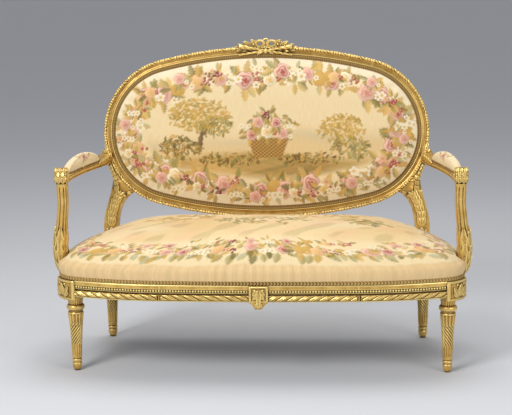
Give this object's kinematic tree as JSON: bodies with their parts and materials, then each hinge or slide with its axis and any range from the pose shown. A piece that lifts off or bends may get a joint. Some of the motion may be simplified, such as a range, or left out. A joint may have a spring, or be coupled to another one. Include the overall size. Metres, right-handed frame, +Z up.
{
  "type": "settee",
  "caption": "Carved giltwood settee with an oval padded back, open arms with pads, a bowed sprung seat and turned fluted legs.",
  "frame": {"origin": "on the floor under the middle of the settee", "axes": "+X to the right of someone facing the settee, +Y towards its back, +Z up"},
  "size_m": [1.3934, 0.669, 1.0595],
  "materials": {
    "gilt_wood": "water-gilt carved wood, worn to red bole on the high edges, satin",
    "beech_wood": "bare planed beech, matt",
    "seat_tapestry": "woven tapestry, cream ground with flowers and leaves, matt",
    "back_tapestry": "woven tapestry, cream ground with a garland of flowers, matt",
    "arm_tapestry": "woven tapestry, cream ground with small flowers, matt",
    "gimp_braid": "olive-gold braid, matt",
    "outside_cloth": "plain cream cotton, matt",
    "dust_cloth": "black cambric, matt",
    "webbing": "jute webbing, matt",
    "hessian": "hessian, matt",
    "stuffing": "horsehair stuffing, matt",
    "spring_steel": "coppered spring wire, satin",
    "lashing_cord": "waxed twine, matt",
    "screw_steel": "plain steel, satin"
  },
  "bodies": {
    "root": {"arm_gimp_left": "gimp_braid", "arm_gimp_right": "gimp_braid", "arm_left": "gilt_wood", "arm_pad_left": "arm_tapestry", "arm_pad_right": "arm_tapestry", "arm_right": "gilt_wood", "arm_support_left": "gilt_wood", "arm_support_right": "gilt_wood", "back_bottom_rail": "gilt_wood", "back_cover": "back_tapestry", "back_end_left": "gilt_wood", "back_end_right": "gilt_wood", "back_frame_dowels": "beech_wood", "back_gimp": "gimp_braid", "back_hessian": "hessian", "back_leg_left": "gilt_wood", "back_leg_right": "gilt_wood", "back_pad": "stuffing", "back_rail": "gilt_wood", "back_top_rail": "gilt_wood", "back_webbing": "webbing", "corner_block_back_left": "beech_wood", "corner_block_back_right": "beech_wood", "corner_block_front_left": "beech_wood", "corner_block_front_right": "beech_wood", "corner_block_screws": "screw_steel", "crest_carving": "gilt_wood", "cross_rail_left": "beech_wood", "cross_rail_right": "beech_wood", "dust_cover": "dust_cloth", "front_leg_left": "gilt_wood", "front_leg_right": "gilt_wood", "front_rail": "gilt_wood", "front_rail_boss": "gilt_wood", "outside_back_cover": "outside_cloth", "outside_back_gimp": "gimp_braid", "seat_cover": "seat_tapestry", "seat_gimp": "gimp_braid", "seat_hessian": "hessian", "seat_springs": "spring_steel", "seat_stuffing": "stuffing", "seat_webbing_cross": "webbing", "seat_webbing_long": "webbing", "side_rail_left": "gilt_wood", "side_rail_right": "gilt_wood", "spring_lashing": "lashing_cord", "tenon_pegs": "beech_wood"}
  },
  "joints": []
}
